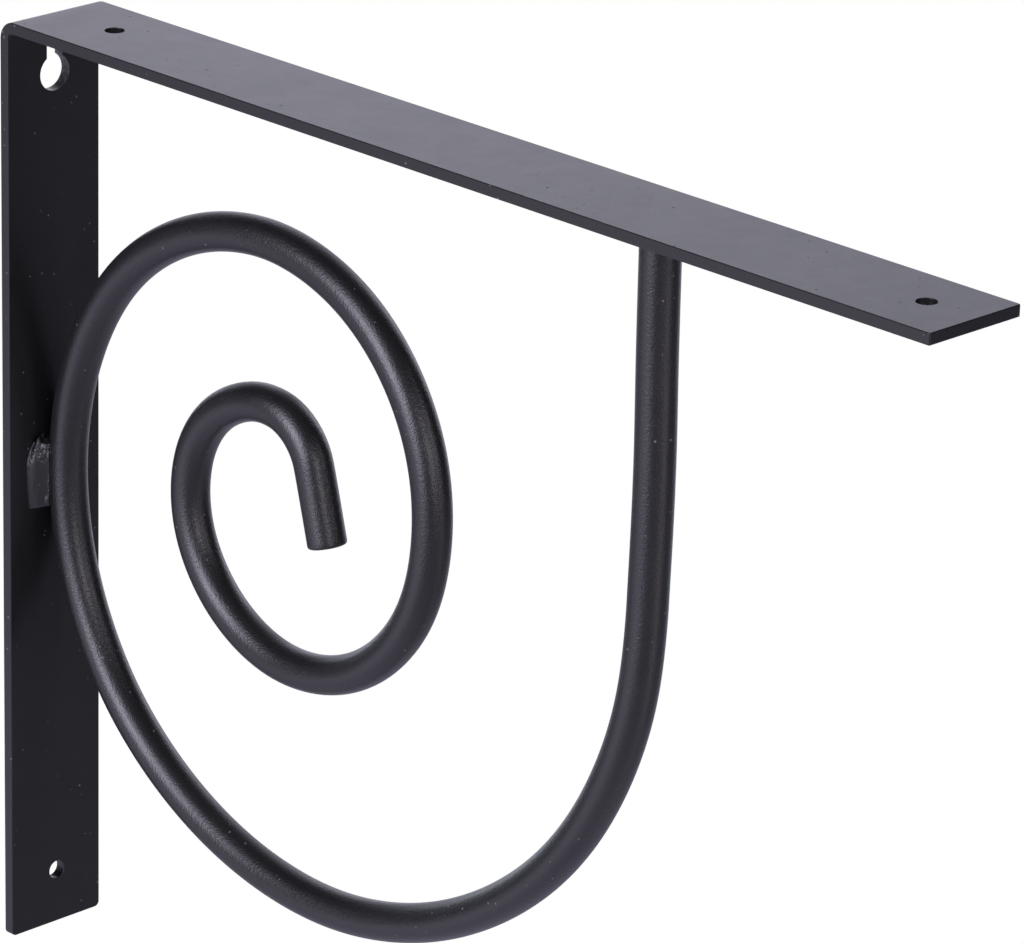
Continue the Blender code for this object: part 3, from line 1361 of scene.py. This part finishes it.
@dataclass(frozen=True)
class ShelfBead(SteelPiece):
    """The weld bead all round the top of the rod, under the shelf arm."""

    coat: PowderCoat = PowderCoat(
        "shelf_bead_coat",
        (0.010, 0.010, 0.0105),
        0.42,
        wave_scale=900.0,
        relief=0.00008,
        specks=Specks(share=0.3),
    )
    path: ScrollPath = ScrollPath()
    rod_radius: float = 5.0 * MM
    leg: float = 3.0 * MM
    leg_change: float = 0.08
    leg_waves: float = 1.7
    leg_seed: float = 0.3
    roundness: float = 0.55
    around: int = 120
    face_steps: int = 12
    lump: float = 0.16 * MM
    lump_waves_round: float = 5.0
    lump_waves_down: float = 900.0
    lump_fading: float = 0.7
    ripples: int = 26
    ripple_share: float = 0.35
    ripple_slant: float = 2.5
    slope: float = 0.7
    sunk: float = 0.3 * MM
    sunk_leg: float = 0.9
    sharp_angle: float = 60.0

    def build(self) -> Piece:
        """Build the bead as one closed, rippled ring.

        Returns:
            The bead.
        """
        points = [self.section(2 * math.pi * spot / self.around) for spot in range(self.around)]
        flat = np.array(points).reshape(-1, 3)
        flat += np.array([self.path.reach, 0.0, self.path.top])
        count = len(points[0])
        faces = []
        for spot in range(self.around):
            low, high = spot * count, (spot + 1) % self.around * count
            for step in range(count):
                beside = (step + 1) % count
                faces.append((low + step, low + beside, high + beside, high + step))
        piece = mesh_piece("shelf_bead", flat, faces)
        piece.data.set_sharp_from_angle(angle=math.radians(self.sharp_angle))
        return piece

    def section(self, angle: float) -> list[Point3]:
        """Lay the bead's closed outline in one direction from the rod.

        Args:
            angle: The direction, in radians from X towards Y.

        Returns:
            The points, over the face from the bar to the rod and back inside both, as X and Y from
            the rod's centre line and Z from the bar.
        """
        away = Vector((math.cos(angle), math.sin(angle)))
        uneven = noise.noise(Vector((away.x, away.y, self.leg_seed)) * self.leg_waves)
        leg = self.leg * (1 + self.leg_change * uneven)
        straight = 1 - self.roundness
        outline = []
        for step in range(self.face_steps + 1):
            part = step / self.face_steps
            turn = math.pi / 2 * part
            across = leg * (1 - math.sin(turn) * self.roundness - part * straight)
            down = leg * (1 - math.cos(turn) * self.roundness - (1 - part) * straight)
            ripple = self.ripple_share * math.sin(self.ripples * angle + self.ripple_slant * part)
            lumpy = Vector((*(away * self.lump_waves_round), down * self.lump_waves_down))
            lumps = layered_noise(lumpy, self.lump_fading)
            swell = self.slope * self.lump * math.sin(math.pi * part) * (ripple + lumps)
            outline.append((self.rod_radius + across + swell, -down - swell))
        inner = self.rod_radius - self.sunk
        outline.append((inner, -leg * self.sunk_leg))
        outline.append((inner, self.sunk))
        outline.append((self.rod_radius + leg * self.sunk_leg, self.sunk))
        return [(reach * away.x, reach * away.y, z) for reach, z in outline]


# The studio


@dataclass(frozen=True)
class StudioCamera:
    """The camera, as the photograph was taken: a long lens from the right, a little above."""

    azimuth: float = 45.12
    elevation: float = 20.53
    roll: float = 1.37
    focal_pixels: float = 6413.0
    distance: float = 1608.0 * MM
    aside: float = 116.9 * MM
    lift: float = -116.2 * MM
    aim_height: float = 125.0 * MM
    sensor: float = 36.0
    sees_from: float = 0.05
    sees_to: float = 200.0

    def build(self) -> None:
        """Make the camera and make it the scene's own."""
        turn, tilt, roll = (math.radians(a) for a in (self.azimuth, self.elevation, self.roll))
        level = Vector((math.cos(turn), math.sin(turn), 0.0))
        ahead = Vector(
            (-math.sin(turn) * math.cos(tilt), math.cos(turn) * math.cos(tilt), -math.sin(tilt))
        )
        upright = level.cross(ahead)
        right = level * math.cos(roll) + upright * math.sin(roll)
        above = upright * math.cos(roll) - level * math.sin(roll)
        place = -ahead * self.distance + right * self.aside + above * self.lift
        place.z += self.aim_height
        data = bpy.data.cameras.new("photo_camera")
        data.sensor_width = self.sensor
        data.lens = self.focal_pixels * self.sensor / PHOTO_WIDTH
        data.clip_start = self.sees_from
        data.clip_end = self.sees_to
        camera = bpy.data.objects.new("photo_camera", data)
        turned = Matrix((right, above, -ahead)).transposed().to_4x4()
        camera.matrix_world = Matrix.Translation(place) @ turned
        bpy.context.scene.collection.objects.link(camera)
        bpy.context.scene.camera = camera


@dataclass(frozen=True)
class Softbox:
    """A soft light in one direction round the bracket, such as a softbox or a lit sweep.

    Attributes:
        name: What it stands for.
        azimuth: Its bearing in degrees, 0 at -Y, 90 at +X.
        elevation: Degrees above the horizon.
        width: Degrees from its middle to where it has faded to a third, sideways.
        height: The same, upwards.
        strength: How bright its middle is.
        colour: Its colour.
    """

    name: str
    azimuth: float
    elevation: float
    width: float
    height: float
    strength: float
    colour: Colour = (1.0, 1.0, 1.0)

    @property
    def axes(self) -> tuple[Vector, Vector, Vector]:
        """The directions that it is measured along.

        Returns:
            The way from the bracket to its middle, then sideways and upwards from there.
        """
        turn, tilt = math.radians(self.azimuth), math.radians(self.elevation)
        aim = Vector(
            (math.sin(turn) * math.cos(tilt), -math.cos(turn) * math.cos(tilt), math.sin(tilt))
        )
        aside = Vector((math.cos(turn), math.sin(turn), 0.0))
        return aim, aside, aim.cross(aside)


STUDIO_LIGHT = (
    Softbox("key", -4.0, 16.0, 17.0, 21.0, 11.5, (1.02, 1.0, 1.19)),
    Softbox("right_strip", 98.0, 19.0, 10.0, 15.0, 4.45, (1.04, 1.0, 1.15)),
    Softbox("right_strip_low", 96.0, -14.0, 10.0, 29.0, 1.45, (1.11, 1.0, 1.04)),
    Softbox("right_front_strip", 67.0, 10.0, 10.0, 11.0, 6.9, (1.07, 1.0, 1.10)),
    Softbox("back_sweep", -133.0, 13.0, 14.0, 28.0, 1.37, (1.01, 1.0, 1.19)),
    Softbox("back_right_sweep", -170.0, 13.0, 14.0, 29.0, 2.55, (0.98, 1.0, 1.16)),
    Softbox("left_panel", -98.0, 1.0, 16.0, 15.0, 2.45, (0.96, 1.0, 1.17)),
    Softbox("front_floor", -27.0, -28.0, 28.0, 22.0, 0.60, (1.06, 1.0, 1.35)),
    Softbox("backdrop", -135.0, -20.0, 14.0, 14.0, 0.42),
    Softbox("left_floor", -38.0, -18.0, 9.0, 12.0, 0.56),
    Softbox("overhead", -45.0, 84.0, 40.0, 20.0, 0.16),
)


@dataclass(frozen=True)
class Studio:
    """Camera, floor and soft light."""

    camera: StudioCamera = StudioCamera()
    lights: tuple[Softbox, ...] = STUDIO_LIGHT
    table_glow: float = 0.61
    table_colour: Colour = (1.04, 1.0, 1.30)
    floor_height: float = -0.9
    floor_reach: float = 30.0

    def build(self) -> None:
        """Build the whole studio."""
        self.camera.build()
        self.build_floor()
        self.build_world()
        bpy.context.scene.view_settings.view_transform = "Standard"

    def build_floor(self) -> None:
        """Lay the plain white floor, well below the bracket, which hangs on a wall."""
        ways = ((-1, -1), (1, -1), (1, 1), (-1, 1))
        reach = self.floor_reach
        rim = np.array([(x * reach, y * reach, self.floor_height) for x, y in ways])
        floor = mesh_piece("floor", rim, [(0, 1, 2, 3)])
        paper = bpy.data.materials.new("floor_paper")
        paper.use_nodes = True
        wires, nodes = Wiring(paper.node_tree), paper.node_tree.nodes
        nodes.remove(nodes["Principled BSDF"])
        glow = wires.add("ShaderNodeEmission")
        wires.feed(glow, Color=WHITE, Strength=1.0)
        wires.feed(nodes["Material Output"], Surface=glow.outputs[0])
        floor.data.materials.append(paper)
        floor.visible_diffuse = False
        floor.visible_glossy = False
        floor.visible_shadow = False

    def glow(self, wires: Wiring, facing: Socket, light: Softbox) -> Socket:
        """Add one softbox to the surroundings.

        Args:
            wires: Helper of the world's tree.
            facing: The direction that is looked at.
            light: The softbox.

        Returns:
            Its tinted light's socket.
        """
        ahead, aside, above = (wires.vector("DOT_PRODUCT", facing, axis) for axis in light.axes)
        turned, raised = wires.math("ARCTAN2", aside, ahead), wires.math("ARCSINE", above)
        across = wires.math("DIVIDE", turned, math.radians(light.width))
        upwards = wires.math("DIVIDE", raised, math.radians(light.height))
        sideways = wires.math("MULTIPLY", across, across)
        away = wires.math("ADD", sideways, wires.math("MULTIPLY", upwards, upwards))
        fade = wires.math("EXPONENT", wires.math("MULTIPLY", away, -1.0))
        return wires.scaled(light.colour, wires.math("MULTIPLY", fade, light.strength))

    def build_world(self) -> None:
        """Light the bracket from all round, before a background that the camera sees as white."""
        world = bpy.data.worlds.new("studio")
        world.use_nodes = True
        bpy.context.scene.world = world
        wires = Wiring(world.node_tree)
        world.node_tree.nodes.clear()
        facing = wires.add("ShaderNodeTexCoord").outputs["Generated"]
        downwards = wires.vector("DOT_PRODUCT", facing, Vector((0.0, 0.0, -1.0)))
        below = wires.math("MAXIMUM", downwards, 0.0)
        total = wires.scaled(self.table_colour, wires.math("MULTIPLY", below, self.table_glow))
        for light in self.lights:
            total = wires.vector("ADD", total, self.glow(wires, facing, light))
        lit = wires.add("ShaderNodeBackground")
        wires.feed(lit, Color=total, Strength=1.0)
        seen = wires.add("ShaderNodeBackground")
        wires.feed(seen, Color=WHITE, Strength=1.0)
        rays = wires.add("ShaderNodeLightPath")
        either = wires.add("ShaderNodeMixShader")
        ways = (rays.outputs["Is Camera Ray"], lit.outputs[0], seen.outputs[0])
        for socket, value in zip(either.inputs, ways):
            wires.put(value, socket)
        out = wires.add("ShaderNodeOutputWorld")
        wires.feed(out, Surface=either.outputs[0])


def mount(piece: Piece, node: str) -> None:
    """Fix a piece to the bracket's body, in place of its plain solid.

    Args:
        piece: The finished piece.
        node: The solid that it stands for.
    """
    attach(piece, BODY)
    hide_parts(node)
    LOG.info("%s: %d faces, stands for %s", piece.name, len(piece.data.polygons), node)


def corners(box: tuple[Vector, Vector]) -> list[list[float]]:
    """A box's lowest and highest corner as plain lists."""
    return [list(map(float, corner)) for corner in box]


def main() -> None:
    """Build the bracket over its frame, then the studio round it."""
    logging.basicConfig(level=logging.INFO, format="%(name)s %(message)s")
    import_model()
    effects = CoatEffects()
    makers = (
        (FlatBar(), "strap", Slot.STRAP),
        (ScrollRod(), "scroll_rod", Slot.ROD),
        (WallBead(), "wall_weld", Slot.WELD),
        (ShelfBead(), "shelf_weld", Slot.WELD),
    )
    for maker, node, slot in makers:
        piece = maker.build()
        maker.dress(piece, effects)
        mount(piece, node)
    Studio().build()


if __name__ == "__main__":
    main()
